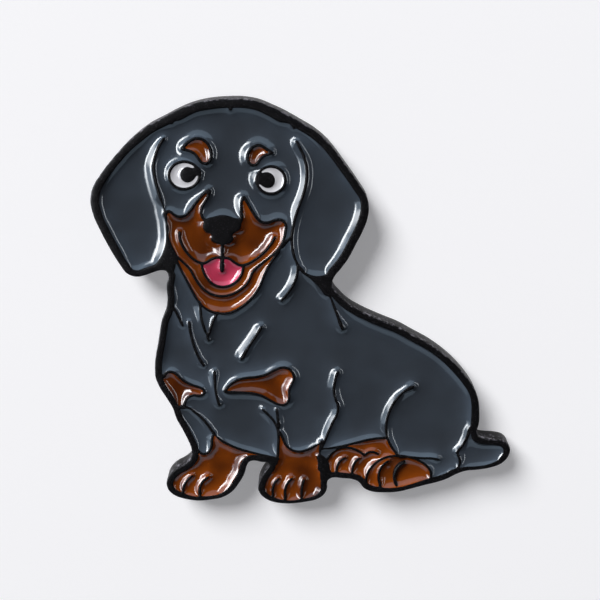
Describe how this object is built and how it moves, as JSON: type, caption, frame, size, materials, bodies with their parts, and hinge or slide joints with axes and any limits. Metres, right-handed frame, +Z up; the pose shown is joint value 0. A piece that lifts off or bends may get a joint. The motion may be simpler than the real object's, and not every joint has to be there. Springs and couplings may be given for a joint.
{
  "type": "lapel pin",
  "caption": "Flat enamelled badge shaped as a sitting dachshund puppy, with raised metal lines round recessed colour, fixed through cloth by posts and sprung butterfly clutches.",
  "frame": {"origin": "on the flat back of the plate, half-way between the two posts", "axes": "+Y is the outward normal of the back, the way the posts point, so the face looks along -Y; +Z is up and +X is to the right of someone looking at the face"},
  "size_m": [0.0374, 0.0089, 0.0381],
  "materials": {
    "black_metal": "satin black dyed metal, finely pitted",
    "slate_enamel": "glossy baked soft enamel, slate grey",
    "tan_enamel": "glossy baked soft enamel, tan",
    "white_enamel": "glossy baked soft enamel, white",
    "pink_enamel": "glossy baked soft enamel, pink",
    "post_metal": "drawn steel wire",
    "clutch_metal": "bright stamped sheet"
  },
  "bodies": {
    "badge": {"base_plate": "black_metal", "enamel_head": "slate_enamel", "enamel_brow_left": "tan_enamel", "enamel_brow_right": "tan_enamel", "enamel_eye_left": "white_enamel", "enamel_eye_right": "white_enamel", "enamel_muzzle": "tan_enamel", "enamel_chin": "tan_enamel", "enamel_tongue": "pink_enamel", "enamel_throat": "slate_enamel", "enamel_body": "slate_enamel", "enamel_patch_left": "tan_enamel", "enamel_patch_right": "tan_enamel", "enamel_foreleg": "slate_enamel", "enamel_paw_front_left": "tan_enamel", "enamel_paw_front_right": "tan_enamel", "enamel_leg_gap": "slate_enamel", "enamel_paw_hind_far": "tan_enamel", "enamel_paw_hind_near": "tan_enamel", "enamel_tail": "slate_enamel", "upper_post": "post_metal", "lower_post": "post_metal"},
    "upper_clutch": {"upper_clutch_cup": "clutch_metal", "upper_clutch_cap": "clutch_metal"},
    "upper_wing_right": {"upper_clutch_wing_right": "clutch_metal"},
    "upper_wing_left": {"upper_clutch_wing_left": "clutch_metal"},
    "lower_clutch": {"lower_clutch_cup": "clutch_metal", "lower_clutch_cap": "clutch_metal"},
    "lower_wing_right": {"lower_clutch_wing_right": "clutch_metal"},
    "lower_wing_left": {"lower_clutch_wing_left": "clutch_metal"}
  },
  "joints": [
    {"name": "upper_clutch_slide", "type": "slide", "parent": "badge", "child": "upper_clutch", "axis": [0, 1, 0], "range_m": [-0.0008, 0.0065]},
    {"name": "upper_wing_right_pinch", "type": "hinge", "parent": "upper_clutch", "child": "upper_wing_right", "pos_m": [-0.00246, 0.00275, 0.00919], "axis": [0, 0, 1], "range_deg": [0, 8], "stiffness_Nm_per_rad": 0.02},
    {"name": "upper_wing_left_pinch", "type": "hinge", "parent": "upper_clutch", "child": "upper_wing_left", "pos_m": [-0.00816, 0.00275, 0.00919], "axis": [0, 0, -1], "range_deg": [0, 8]},
    {"name": "lower_clutch_slide", "type": "slide", "parent": "badge", "child": "lower_clutch", "axis": [0, 1, 0], "range_m": [-0.0008, 0.0065]},
    {"name": "lower_wing_right_pinch", "type": "hinge", "parent": "lower_clutch", "child": "lower_wing_right", "pos_m": [0.00816, 0.00275, -0.00919], "axis": [0, 0, 1], "range_deg": [0, 8], "stiffness_Nm_per_rad": 0.02},
    {"name": "lower_wing_left_pinch", "type": "hinge", "parent": "lower_clutch", "child": "lower_wing_left", "pos_m": [0.00246, 0.00275, -0.00919], "axis": [0, 0, -1], "range_deg": [0, 8]}
  ],
  "couplings": [
    {"joint": "upper_wing_left_pinch", "follows": "upper_wing_right_pinch", "ratio": 1},
    {"joint": "lower_wing_left_pinch", "follows": "lower_wing_right_pinch", "ratio": 1}
  ]
}
